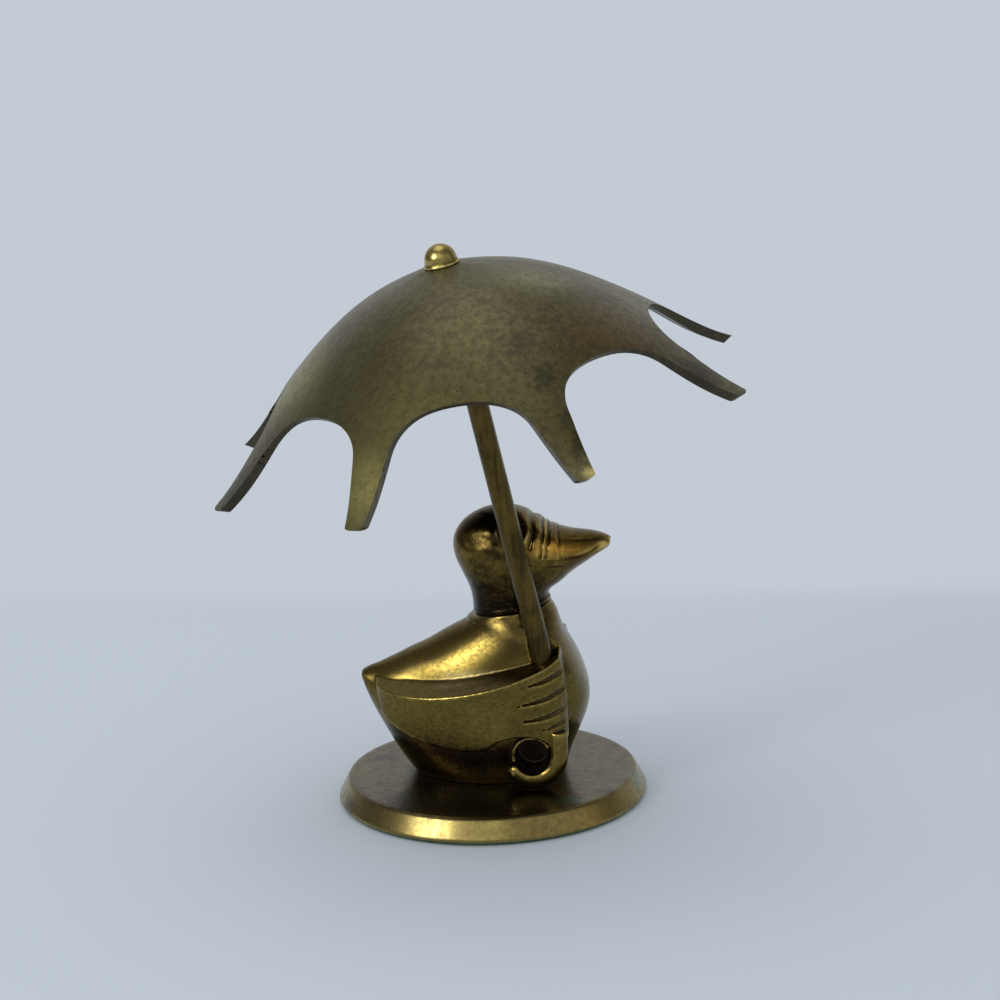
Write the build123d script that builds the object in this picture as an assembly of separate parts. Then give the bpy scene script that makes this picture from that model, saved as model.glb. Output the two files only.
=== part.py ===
from build123d import *

import math
import os

# Brass duck that holds an umbrella over itself, on a round base. Lengths are in mm and angles in degrees.
# The origin is the centre of the base's underside, the duck looks along +X and +Z is up.
# The near side, which holds the umbrella, is -Y.

# Base and what is under it
base_diameter = 75.0
base_top_diameter = 70.0
base_thickness = 5.2
base_rim_land = 0.8
base_edge_round = 0.3
felt_thickness = 0.75
felt_inset = 0.6
screw_diameter = 5.0
screw_head_diameter = 8.5
screw_head_height = 2.6
screw_slot_width = 1.0
screw_slot_depth = 1.1
screw_grip = 9.0
screw_side_clearance = 0.15
screw_head_sink = 0.3

# Duck's body, from the tail's tip to the breast and from the base to the neck's seat
body_length = 55.2
body_height = 40.0
body_half_width = 14.8
tail_x = -30.9
neck_diameter = 18.6
neck_x_share = 0.677
neck_tilt = 8.0

# Neck joint
neck_stud_diameter = 6.0
neck_stud_length = 15.0
neck_stud_side_clearance = 0.1
neck_stud_end_clearance = 0.5
neck_band_height = 0.9
neck_band_proud = 0.2
crease_width = 0.45

# Head, from its back to the beak's tip and from the neck's seat to the crown
head_length = 38.1
head_height = 25.8
head_half_width = 10.2
head_overhang = 13.7

# Wings
wing_length = 46.9
wing_behind_tail = 3.7
wing_half_span = 19.0
wing_deck_slope = 18.0
wing_deck_front_rise = 37.75
groove_width = 1.5
groove_depth = 0.8
pocket_length = 2.0
pocket_width = 4.2
pocket_depth = 4.0
pocket_side_gap = 0.9
wing_front_wall = 0.6
breast_relief_length = 2.6
breast_relief_half_width = 9.2

# Crook of the umbrella's handle, cast under the near wing's front
crook_radius = 5.8
crook_tube_diameter = 4.6
crook_side_place = 14.4
crook_base_gap = 0.1
crook_sweep = 138.0
crook_eye_diameter = 8.0
crook_eye_shift = 0.6
crook_eye_sink = 0.5
crook_eye_depth = 7.0
crook_rim_wall = 0.9

# Umbrella's rod
rod_diameter = 5.0
rod_length = 97.1
rod_foot_x = 14.2
rod_foot_y = -12.5
rod_lean_back = 10.94
rod_lean_out = 7.21
socket_depth = 12.0
socket_clearance = 0.05
shoulder_relief_height = 14.0
rod_stud_diameter = 3.2
rod_stud_engagement = 3.2

# Canopy
canopy_radius = 64.0
canopy_drop = 36.8
canopy_wall = 1.0
finger_thickness = 2.2
canopy_cut_apex_depth = 67.0
canopy_flat_radius = 4.6
canopy_boss_diameter = 9.0
canopy_boss_height = 2.4
canopy_first_rib = -21.0
canopy_fingers = 8
finger_tip_half_width = 2.1
finger_tip_round_share = 0.7
finger_root_half_width = 4.2
finger_root_share = 0.78
scallop_inner_share = 0.668
hub_clearance = 0.05

# Finial nut
finial_diameter = 8.2
finial_height = 4.9
finial_foot_height = 0.9
finial_waist_share = 0.9
finial_bore_spare = 0.3

# One overrun serves every cut
overrun = 2.0

# Ribs of the body from the neck to the tail: back point x and z, belly point x and z, half width, and how far
# from the back the rib is widest. The first five are shares of the body's length, height and half width.
# Ribs that reach below the foot are cut off flat there.
body_rib_shares = (
    (0.476, 0.961, 0.884, 0.930, 0.740, 0.65),
    (0.451, 0.939, 0.957, 0.719, 0.890, 0.78),
    (0.366, 0.879, 1.002, 0.471, 0.920, 0.70),
    (0.295, 0.824, 0.942, 0.224, 0.920, 0.61),
    (0.230, 0.784, 0.871, -0.041, 0.900, 0.58),
    (0.174, 0.746, 0.770, -0.306, 0.870, 0.57),
    (0.120, 0.711, 0.514, -0.269, 0.765, 0.54),
    (0.069, 0.679, 0.259, -0.046, 0.520, 0.50),
    (0.033, 0.661, 0.103, 0.266, 0.300, 0.40),
    (0.012, 0.646, 0.040, 0.439, 0.200, 0.34),
    (0.000, 0.636, 0.002, 0.594, 0.140, 0.50),
)

# Ribs of the head from the neck to the beak's tip, in the same way: nape or crown, throat, half width, widest
head_rib_shares = (
    (0.105, 0.176, 0.591, 0.165, 0.882, 0.50),
    (0.052, 0.390, 0.614, 0.219, 0.902, 0.50),
    (0.000, 0.661, 0.661, 0.266, 0.980, 0.50),
    (0.089, 0.893, 0.709, 0.324, 1.000, 0.50),
    (0.307, 1.006, 0.753, 0.378, 0.941, 0.52),
    (0.504, 0.928, 0.798, 0.424, 0.804, 0.55),
    (0.643, 0.812, 0.850, 0.475, 0.676, 0.58),
    (0.780, 0.762, 0.903, 0.529, 0.549, 0.62),
    (0.911, 0.734, 0.950, 0.572, 0.392, 0.62),
    (0.992, 0.684, 0.984, 0.607, 0.176, 0.50),
)

# Plan of the wing's outer face: place along the wing from its tail end, and its half span there
wing_plan_shares = (
    (0.0, 0.13),
    (0.03, 0.42),
    (0.09, 0.58),
    (0.28, 0.84),
    (0.48, 0.965),
    (0.66, 1.0),
    (0.82, 0.96),
    (0.93, 0.86),
    (0.98, 0.725),
    (1.0, 0.62),
)
# How the wing's outer face draws in above and below its fullest level: height share of the body, span share
wing_level_shares = ((-0.10, 0.78), (0.55, 1.0), (1.10, 0.93))
# Side view of the wing: place along the wing and height, as shares of its deck's rise at the front
wing_deck_shares = ((0.0, 0.690), (0.48, 0.795), (0.97, 0.977))
wing_front_middle_share = (0.995, 0.76)
wing_lower_shares = (
    (0.05, 0.518),
    (0.15, 0.465),
    (0.42, 0.415),
    (0.56, 0.420),
    (0.66, 0.485),
    (0.75, 0.512),
    (0.85, 0.485),
    (0.915, 0.400),
)
# Feather grooves on the wing's front: start along the wing and height, end along the wing and height
groove_shares = (
    (0.78, 0.840, 0.99, 0.885),
    (0.725, 0.715, 1.01, 0.768),
    (0.735, 0.610, 1.01, 0.635),
    (0.87, 0.535, 1.01, 0.545),
)

# Canopy's outer profile from the top to a finger's tip: shares of its radius and of its drop
canopy_profile_shares = (
    (0.0, 0.0),
    (0.19, 0.052),
    (0.375, 0.180),
    (0.56, 0.389),
    (0.75, 0.657),
    (1.0, 1.0),
    (1.06, 1.05),
)
# Eight-sided rings of the canopy: place on that profile, how round the ring's corners are as a share of its
# radius, and how far its wall has grown from the canopy's to the fingers' thickness
canopy_ring_shares = (
    (0.0, 0.90, 0.0),
    (0.22, 0.90, 0.0),
    (0.36, 0.88, 0.0),
    (0.50, 0.82, 0.0),
    (0.62, 0.70, 0.20),
    (0.76, 0.46, 0.80),
    (0.88, 0.32, 1.0),
    (1.0, 0.28, 1.0),
)

base_top = felt_thickness + base_thickness
neck_x = tail_x + neck_x_share * body_length
neck_radius = neck_diameter / 2
nape_z = base_top + body_height
deck_slope = math.tan(math.radians(wing_deck_slope))
wing_front_x = tail_x + wing_behind_tail + wing_length


def rib_wire(back, belly, half_width, widest_share=0.5):
    """Closed curve of four quarter ellipses through a back and a belly point, level across."""
    chord = belly - back
    frame = Plane(origin=back + chord * widest_share, x_dir=chord, z_dir=chord.cross(Vector(0, 1, 0)))
    back_reach = widest_share * chord.length
    belly_reach = chord.length - back_reach
    quarters = ((back_reach, 180), (belly_reach, 270), (belly_reach, 0), (back_reach, 90))
    arcs = []
    for reach, turn in quarters:
        arcs.append(Edge.make_ellipse(reach, half_width, frame, start_angle=turn, end_angle=turn + 90))
    return Wire(arcs)


def neck_plane(height=0.0):
    """Plane of the neck's seat, which rises towards the front, or one above it."""
    up = Vector(-math.sin(math.radians(neck_tilt)), 0, math.cos(math.radians(neck_tilt)))
    seat = Vector(neck_x, 0, nape_z + neck_radius * math.sin(math.radians(neck_tilt)))
    return Plane(origin=seat + up * height, x_dir=(up.Z, 0, -up.X), z_dir=up)


def neck_wire():
    """Round edge that the body and the head share at the neck's seat."""
    seat = neck_plane()
    back = seat.from_local_coords(Vector(-neck_radius, 0, 0))
    front = seat.from_local_coords(Vector(neck_radius, 0, 0))
    return rib_wire(back, front, neck_radius)


def along_neck(radius, bottom, top):
    """Cylinder square to the neck's seat between two heights above it."""
    return neck_plane(bottom) * Cylinder(radius, top - bottom, align=(Align.CENTER, Align.CENTER, Align.MIN))


def rib_loft(rib_shares, corner, length, height, half_width):
    """Smooth solid from the neck's seat through a table of ribs, measured from a corner of their box."""
    wires = [neck_wire()]
    for back_x, back_z, belly_x, belly_z, width, widest in rib_shares:
        back = corner + Vector(back_x * length, 0, back_z * height)
        belly = corner + Vector(belly_x * length, 0, belly_z * height)
        wires.append(rib_wire(back, belly, width * half_width, widest))
    return Solid.make_loft(wires)


def post(radius, bottom, top):
    """Upright cylinder on the base's axis between two heights."""
    return Pos(0, 0, bottom) * Cylinder(radius, top - bottom, align=(Align.CENTER, Align.CENTER, Align.MIN))


def neck_crease():
    """Ring-shaped V cutter that leaves the fine groove between the body and the head."""
    groove = Polygon(
        (neck_radius - crease_width, 0),
        (neck_radius + crease_width, crease_width),
        (neck_radius + crease_width, -crease_width),
        align=None,
    )
    return neck_plane() * revolve(Plane.XZ * groove, axis=Axis.Z)


def wing_point(along_share, height_share):
    """Place in the wing's side view, on the duck's middle plane."""
    return Vector(
        tail_x + wing_behind_tail + along_share * wing_length,
        0,
        base_top + height_share * wing_deck_front_rise,
    )


def wing_envelope(inset=0.0):
    """Boat-shaped block whose side is the outer face of the near wing, or lies inside it."""
    levels = []
    for height_share, span_share in wing_level_shares:
        z = base_top + height_share * body_height
        points = []
        for along, span in wing_plan_shares:
            x = wing_front_x - (1 - along) * wing_length
            points.append(Vector(x, -span * span_share * (wing_half_span - inset), z))
        tail = Vector(points[0].X, 0, z)
        front = Vector(points[-1].X, 0, z)
        sides = [Line(tail, points[0]), Spline(*points), Line(points[-1], front), Line(front, tail)]
        levels.append(Wire(sides))
    return Solid.make_loft(levels)


def deck_line():
    """Side view of the deck, on the duck's middle plane."""
    return Spline(*[wing_point(*share) for share in wing_deck_shares])


def near_wing():
    """Near wing: sloping deck on top, full outer face, undercut lower edge."""
    lower_points = [wing_point(*share) for share in wing_lower_shares]
    front_low = wing_point(1.0, wing_lower_shares[-1][1])
    deck = deck_line()
    front = Spline(deck @ 1, wing_point(*wing_front_middle_share), front_low)
    sill = Line(front_low, lower_points[-1])
    lower = Spline(*lower_points)
    heel = Line(lower_points[0], deck @ 0)
    outline = Face(Wire([deck, front, sill, lower, heel]))
    slant = Vector(0, -1, -deck_slope)
    prism = extrude(outline, amount=2 * wing_half_span, dir=slant)
    breast = Box(2 * breast_relief_length, 2 * breast_relief_half_width, 4 * body_height)
    return (prism & wing_envelope()) - Pos(wing_point(*wing_deck_shares[-1])) * breast


def feather_grooves():
    """Tapered cutters for the feather grooves at the near wing's front."""
    slant = Vector(0, -1, -deck_slope)
    core = wing_envelope(groove_depth)
    cutters = []
    for start_along, start_height, end_along, end_height in groove_shares:
        start = wing_point(start_along, start_height)
        end = wing_point(end_along, end_height)
        half_mouth = (end - start).normalized().cross(Vector(0, 1, 0)) * groove_width / 2
        wedge = Face(Wire.make_polygon([start, end + half_mouth, end - half_mouth]))
        cutters.append(extrude(wedge, amount=2 * wing_half_span, dir=slant) - core)
    return cutters


def crook():
    """Hooked lower end of the umbrella's handle, with the round eye that it closes."""
    tube_radius = crook_tube_diameter / 2
    middle = crook_middle()
    frame = Plane(origin=middle, x_dir=(1, 0, 0), z_dir=(0, 1, 0))
    start_reach = Vector(crook_radius, 0, 0)
    shoulder = frame.from_local_coords(start_reach - Vector(0, crook_radius, 0))
    start = frame.from_local_coords(start_reach)
    halfway = frame.from_local_coords(start_reach.rotate(Axis.Z, crook_sweep / 2))
    tip = frame.from_local_coords(start_reach.rotate(Axis.Z, crook_sweep))
    path = Wire([Line(shoulder, start), ThreePointArc(start, halfway, tip)])
    tube = sweep(Plane(origin=shoulder, z_dir=start - shoulder) * Circle(tube_radius), path=path)
    end = Pos(tip) * Sphere(tube_radius)
    return tube + end


def crook_middle():
    """Middle of the crook's bend."""
    tube_radius = crook_tube_diameter / 2
    outer_radius = crook_radius + tube_radius
    return Vector(wing_front_x - outer_radius, -crook_side_place, base_top + crook_base_gap + outer_radius)


def rod_plane(height=0.0):
    """Plane across the umbrella's rod, at a height along it above its foot on the deck."""
    lean_x = -math.tan(math.radians(rod_lean_back))
    lean_y = -math.tan(math.radians(rod_lean_out))
    axis = Vector(lean_x, lean_y, 1).normalized()
    plumb = Edge.make_line((rod_foot_x, 0, 0), (rod_foot_x, 0, 2 * nape_z))
    deck_z = deck_line().find_intersection_points(plumb)[0].Z
    foot = Vector(rod_foot_x, rod_foot_y, deck_z + rod_foot_y * deck_slope)
    return Plane(origin=foot + axis * height, x_dir=Vector(0, 1, 0).cross(axis), z_dir=axis)


def along_rod(radius, bottom, top):
    """Cylinder on the rod's axis between two heights along it."""
    return rod_plane(bottom) * Cylinder(radius, top - bottom, align=(Align.CENTER, Align.CENTER, Align.MIN))


def front_pocket():
    """Cutter for the small pocket between the rod's foot and the wing's thin front wall."""
    foot = rod_plane().origin
    front = wing_point(*wing_deck_shares[-1])
    block = Box(pocket_length, pocket_width, pocket_depth + 2 * overrun, align=(Align.MAX, Align.MIN, Align.MIN))
    return Pos(front.X - wing_front_wall, foot.Y - pocket_side_gap, foot.Z - pocket_depth) * block


def crook_eye():
    """Rim round the eye under the wing, and the blind hole in it."""
    eye_radius = crook_eye_diameter / 2
    middle = crook_middle() - Vector(crook_eye_shift, 0, crook_eye_sink)
    plane = Plane(origin=middle, x_dir=(1, 0, 0), z_dir=(0, 1, 0))
    to_back = (Align.CENTER, Align.CENTER, Align.MIN)
    rim = plane * Cylinder(eye_radius + crook_rim_wall, crook_eye_depth, align=to_back)
    hole = plane.offset(-overrun) * Cylinder(eye_radius, crook_eye_depth + overrun, align=to_back)
    return rim, hole


def duck_body():
    """Body casting: torso with its tail, both wings and the crook."""
    torso = rib_loft(body_rib_shares, Vector(tail_x, 0, base_top), body_length, body_height, body_half_width)
    foot_depth = 2 * body_height
    below = Pos(0, 0, base_top) * Box(
        4 * body_length, 4 * body_length, foot_depth, align=(Align.CENTER, Align.CENTER, Align.MAX)
    )
    wing = near_wing()
    for groove in feather_grooves():
        wing -= groove
    rim, hole = crook_eye()
    solid = torso - below + mirror(wing, about=Plane.XZ) + wing + crook() + rim - hole
    solid -= front_pocket()
    solid -= along_rod(rod_diameter / 2 + socket_clearance, -socket_depth, shoulder_relief_height)
    stud_depth = neck_stud_length / 2 + neck_stud_end_clearance
    solid -= along_neck(neck_stud_diameter / 2 + neck_stud_side_clearance, -stud_depth, overrun)
    solid -= neck_crease()
    screw_hole_top = base_top + screw_grip + screw_head_sink
    solid -= post(screw_diameter / 2 + screw_side_clearance, base_top - overrun, screw_hole_top)
    return solid


def duck_head():
    """Head casting: neck with its band, head and beak."""
    corner = Vector(neck_x - head_overhang, 0, nape_z)
    solid = rib_loft(head_rib_shares, corner, head_length, head_height, head_half_width)
    solid += along_neck(neck_radius + neck_band_proud, 0, neck_band_height)
    stud_depth = neck_stud_length / 2 + neck_stud_end_clearance
    solid -= along_neck(neck_stud_diameter / 2 + neck_stud_side_clearance, -overrun, stud_depth)
    return solid - neck_crease()


def neck_stud():
    """Threaded stud that joins the head to the body."""
    half = neck_stud_length / 2
    return along_neck(neck_stud_diameter / 2, -half, half)


def base_disc():
    """Turned disc with a bevelled rim and a counterbored hole for the screw."""
    foot_radius = base_diameter / 2
    top_radius = base_top_diameter / 2
    outline = Polygon(
        (0, felt_thickness),
        (foot_radius, felt_thickness),
        (foot_radius, felt_thickness + base_rim_land),
        (top_radius, base_top),
        (0, base_top),
        align=None,
    )
    disc = revolve(Plane.XZ * outline, axis=Axis.Z)
    rim_edges = disc.edges().filter_by(GeomType.CIRCLE).sort_by(SortBy.LENGTH)[-3:]
    disc = fillet(rim_edges, base_edge_round)
    head_top = felt_thickness + screw_head_sink + screw_head_height
    disc -= post(screw_head_diameter / 2 + screw_side_clearance, felt_thickness - overrun, head_top)
    return disc - post(screw_diameter / 2 + screw_side_clearance, felt_thickness, base_top + overrun)


def felt_pad():
    """Round felt pad glued under the base."""
    return post(base_diameter / 2 - felt_inset, 0, felt_thickness)


def base_screw():
    """Cheese-head screw that holds the duck on its base, with a slot that faces down."""
    head_bottom = felt_thickness + screw_head_sink
    head_top = head_bottom + screw_head_height
    head = post(screw_head_diameter / 2, head_bottom, head_top)
    shank = post(screw_diameter / 2, head_top, base_top + screw_grip)
    to_bottom = (Align.CENTER, Align.CENTER, Align.MIN)
    slot = Box(screw_head_diameter + overrun, screw_slot_width, screw_slot_depth, align=to_bottom)
    return head + shank - Pos(0, 0, head_bottom) * slot


def canopy_profile():
    """Outer profile of the canopy in the rod's frame, from its top outwards."""
    points = []
    for radius_share, drop_share in canopy_profile_shares:
        points.append(Vector(radius_share * canopy_radius, -drop_share * canopy_drop))
    return Spline(*points, tangents=[Vector(1, 0), points[-1] - points[-2]])


def canopy_block(inner=False):
    """Eight-sided dome with soft ridges: the canopy's outer face, or its inner one."""
    profile = canopy_profile()
    rings = []
    for station_share, ridge_share, growth_share in canopy_ring_shares:
        place = profile @ station_share
        if inner:
            outward = (profile % station_share).rotate(Axis.Z, 90)
            place -= outward * (canopy_wall + growth_share * (finger_thickness - canopy_wall))
        radius = max(place.X, 0) + canopy_flat_radius * (station_share == 0)
        rounding = ridge_share * (1 / math.cos(math.pi / canopy_fingers) - 1)
        octagon = RegularPolygon(radius / (1 - rounding), canopy_fingers)
        octagon = fillet(octagon.vertices(), ridge_share * radius)
        rings.append(Pos(0, 0, place.Y) * octagon.face().outer_wire())
    return Solid.make_loft(rings)


def canopy_plan():
    """Outline of the fingers and the arches between them, seen from the cut's apex on the top's level."""
    profile = canopy_profile()

    def seen(x, y):
        """Place on the top's level of a place on the canopy's outer face."""
        reach = math.hypot(x, y)
        plumb = Edge.make_line((reach, canopy_drop), (reach, -2 * canopy_drop))
        depth = -profile.find_intersection_points(plumb)[0].Y
        return Vector(x, y) * canopy_cut_apex_depth / (canopy_cut_apex_depth - depth)

    pitch = 360 / canopy_fingers
    tip_point = seen(canopy_radius, 0)
    shoulder_width = tip_point.X * finger_tip_half_width / canopy_radius
    shoulder_point = Vector(tip_point.X - finger_tip_round_share * shoulder_width, shoulder_width)
    root_point = seen(finger_root_share * canopy_radius, finger_root_half_width)
    inner_point = seen(scallop_inner_share * canopy_radius, 0).rotate(Axis.Z, pitch / 2)
    taper = root_point - shoulder_point
    near_root = Vector(root_point.X, -root_point.Y)
    near_shoulder = Vector(shoulder_point.X, -shoulder_point.Y)
    arriving = Vector(-taper.X, taper.Y).rotate(Axis.Z, pitch)
    edges = []
    for finger in range(canopy_fingers):
        pieces = [
            Line(near_root, near_shoulder),
            ThreePointArc(near_shoulder, tip_point, shoulder_point),
            Line(shoulder_point, root_point),
            Spline(root_point, inner_point, near_root.rotate(Axis.Z, pitch), tangents=[taper, arriving]),
        ]
        edges += [piece.rotate(Axis.Z, finger * pitch) for piece in pieces]
    return Wire(edges)


def finger_cutter():
    """Cone through the canopy's outline, so that its edges are cut square to its face."""
    outline = canopy_plan()
    wires = []
    for level in (-(canopy_drop + canopy_cut_apex_depth) / 2, overrun):
        share = 1 + level / canopy_cut_apex_depth
        wires.append(Pos(0, 0, level) * outline.scale(share))
    return Solid.make_loft(wires, ruled=True)


def canopy():
    """Cast umbrella canopy: eight-fingered shell with a boss under its top."""
    depth = canopy_drop + canopy_boss_height
    shell = (canopy_block() - canopy_block(inner=True)) & finger_cutter()
    top = -canopy_wall
    boss = Pos(0, 0, top) * Cylinder(
        canopy_boss_diameter / 2, canopy_boss_height, align=(Align.CENTER, Align.CENTER, Align.MAX)
    )
    hub_hole = Cylinder(rod_stud_diameter / 2 + hub_clearance, 2 * depth)
    shell = shell + boss - hub_hole
    return rod_plane(rod_length) * Rot(0, 0, canopy_first_rib) * shell


def umbrella_rod():
    """Rod from the socket to the canopy, with a reduced stud through the canopy into the finial."""
    shoulder = rod_length - canopy_wall - canopy_boss_height - hub_clearance
    rod = along_rod(rod_diameter / 2, -socket_depth + socket_clearance, shoulder)
    return rod + along_rod(rod_stud_diameter / 2, shoulder, rod_length + rod_stud_engagement)


def finial():
    """Domed nut with a foot flange and a blind hole for the rod's stud."""
    foot_radius = finial_diameter / 2
    waist_radius = finial_waist_share * foot_radius
    dome_foot = finial_height - waist_radius
    profile = Wire(
        [
            Line((0, 0), (foot_radius, 0)),
            Line((foot_radius, 0), (foot_radius, finial_foot_height / 2)),
            Line((foot_radius, finial_foot_height / 2), (waist_radius, finial_foot_height)),
            Line((waist_radius, finial_foot_height), (waist_radius, dome_foot)),
            CenterArc((0, dome_foot), waist_radius, 0, 90),
            Line((0, finial_height), (0, 0)),
        ]
    )
    nut = revolve(Plane.XZ * Face(profile), axis=Axis.Z)
    bore = Cylinder(
        rod_stud_diameter / 2 + hub_clearance,
        2 * (rod_stud_engagement + finial_bore_spare),
    )
    return rod_plane(rod_length) * (nut - bore)


pieces = {
    "felt_pad": felt_pad,
    "base_disc": base_disc,
    "base_screw": base_screw,
    "duck_body": duck_body,
    "duck_head": duck_head,
    "neck_stud": neck_stud,
    "umbrella_rod": umbrella_rod,
    "canopy": canopy,
    "finial": finial,
}

os.makedirs("parts", exist_ok=True)
for name, build in pieces.items():
    solid = build()
    print(name, len(solid.solids()), round(solid.volume, 1))
    export_step(solid, f"parts/{name}.step")
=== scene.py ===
"""Looks of a cast brass duck that holds an umbrella over itself, on a round base.

Lengths in the piece classes are in millimetres, in the same frame as the castings: the duck looks
along +X, +Z is up and the side that holds the umbrella is -Y.
"""

import logging
import math
from dataclasses import dataclass
from enum import Enum
from typing import ClassVar

import bpy
import numpy as np
from mathutils import Matrix, Vector
from mathutils.bvhtree import BVHTree

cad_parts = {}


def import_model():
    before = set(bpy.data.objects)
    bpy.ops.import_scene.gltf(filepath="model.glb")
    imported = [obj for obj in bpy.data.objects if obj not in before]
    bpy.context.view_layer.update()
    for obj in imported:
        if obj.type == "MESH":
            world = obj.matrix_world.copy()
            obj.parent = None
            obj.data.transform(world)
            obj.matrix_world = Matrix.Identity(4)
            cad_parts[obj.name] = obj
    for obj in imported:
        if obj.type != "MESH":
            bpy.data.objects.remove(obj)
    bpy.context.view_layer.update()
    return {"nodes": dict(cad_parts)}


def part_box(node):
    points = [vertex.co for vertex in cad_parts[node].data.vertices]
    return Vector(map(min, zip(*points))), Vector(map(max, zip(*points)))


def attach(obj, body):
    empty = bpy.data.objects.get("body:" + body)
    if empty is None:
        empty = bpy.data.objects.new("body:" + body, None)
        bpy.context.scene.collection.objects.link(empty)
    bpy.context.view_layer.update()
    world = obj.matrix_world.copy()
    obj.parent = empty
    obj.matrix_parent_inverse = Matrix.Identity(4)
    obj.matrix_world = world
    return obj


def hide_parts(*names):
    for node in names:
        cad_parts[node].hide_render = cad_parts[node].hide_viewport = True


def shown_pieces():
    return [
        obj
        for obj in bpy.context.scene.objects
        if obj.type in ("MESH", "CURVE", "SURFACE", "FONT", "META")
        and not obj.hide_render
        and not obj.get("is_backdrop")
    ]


MM = 0.001
MM_PER_METRE = 1000.0
CREASE_ANGLE = 35.0
LOG = logging.getLogger("duck")

Colour = tuple[float, float, float]
Point = tuple[float, float, float]
Section = tuple[tuple[float, float], ...]
Socket = bpy.types.NodeSocket

EVEN: Point = (1.0, 1.0, 1.0)


class Skin(Enum):
    """How a casting's even skin treats its edges."""

    CRISP = "SHARP"
    ROUND = "VOXEL"


@dataclass(frozen=True)
class Band:
    """Range of a value, and what the range's two ends turn into."""

    low: float
    high: float
    start: float = 0.0
    end: float = 1.0


@dataclass(frozen=True)
class Noise:
    """Soft noise: cycles per mm, octaves, weight of the finer octaves and distortion."""

    cycles: float
    detail: float
    rough: float = 0.55
    warp: float = 0.0


class Graph:
    """Short hand for building one tree of shader nodes."""

    NUMBER_INPUTS: ClassVar[tuple[int, int, int]] = (0, 2, 3)
    NUMBER_OUTPUT: ClassVar[int] = 0
    COLOUR_INPUTS: ClassVar[tuple[int, int, int]] = (0, 6, 7)
    COLOUR_OUTPUT: ClassVar[int] = 2

    def __init__(self, tree: bpy.types.NodeTree) -> None:
        """Keep the tree's nodes and links at hand."""
        self.nodes = tree.nodes
        self.links = tree.links

    def put(self, target: Socket, value: Socket | float | Colour | Vector) -> None:
        """Link a socket to an input, or set the input's value."""
        if isinstance(value, bpy.types.NodeSocket):
            self.links.new(value, target)
        elif isinstance(value, tuple) and target.type == "RGBA":
            target.default_value = (*value, 1.0)
        else:
            target.default_value = value

    def maths(self, operation: str, first: Socket | float, second: Socket | float) -> Socket:
        """Return the result of one arithmetic step."""
        node = self.nodes.new("ShaderNodeMath")
        node.operation = operation
        self.put(node.inputs[0], first)
        self.put(node.inputs[1], second)
        return node.outputs[0]

    def times(self, first: Socket | float, second: Socket | float) -> Socket:
        """Return the product of two values."""
        return self.maths("MULTIPLY", first, second)

    def spread(self, value: Socket, band: Band) -> Socket:
        """Return a value eased from the band's start to its end as it crosses the band."""
        node = self.nodes.new("ShaderNodeMapRange")
        node.interpolation_type = "SMOOTHSTEP"
        self.put(node.inputs["Value"], value)
        self.put(node.inputs["From Min"], band.low)
        self.put(node.inputs["From Max"], band.high)
        self.put(node.inputs["To Min"], band.start)
        self.put(node.inputs["To Max"], band.end)
        return node.outputs["Result"]

    def blend(self, share: Socket | float, first: Socket | Colour, second: Socket | Colour) -> Socket:
        """Return a colour between two."""
        node = self.nodes.new("ShaderNodeMix")
        node.data_type = "RGBA"
        for place, value in zip(self.COLOUR_INPUTS, (share, first, second)):
            self.put(node.inputs[place], value)
        return node.outputs[self.COLOUR_OUTPUT]

    def between(self, share: Socket | float, first: Socket | float, second: Socket | float) -> Socket:
        """Return a number between two."""
        node = self.nodes.new("ShaderNodeMix")
        node.data_type = "FLOAT"
        for place, value in zip(self.NUMBER_INPUTS, (share, first, second)):
            self.put(node.inputs[place], value)
        return node.outputs[self.NUMBER_OUTPUT]

    def choose(self, share: Socket, first: Socket, second: Socket) -> Socket:
        """Return a shader between two."""
        node = self.nodes.new("ShaderNodeMixShader")
        for target, value in zip(node.inputs, (share, first, second)):
            self.put(target, value)
        return node.outputs[0]

    def background(self, tone: Colour, strength: Socket | float) -> Socket:
        """Return the light of a world in one tone."""
        node = self.nodes.new("ShaderNodeBackground")
        self.put(node.inputs["Color"], tone)
        self.put(node.inputs["Strength"], strength)
        return node.outputs[0]


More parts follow.
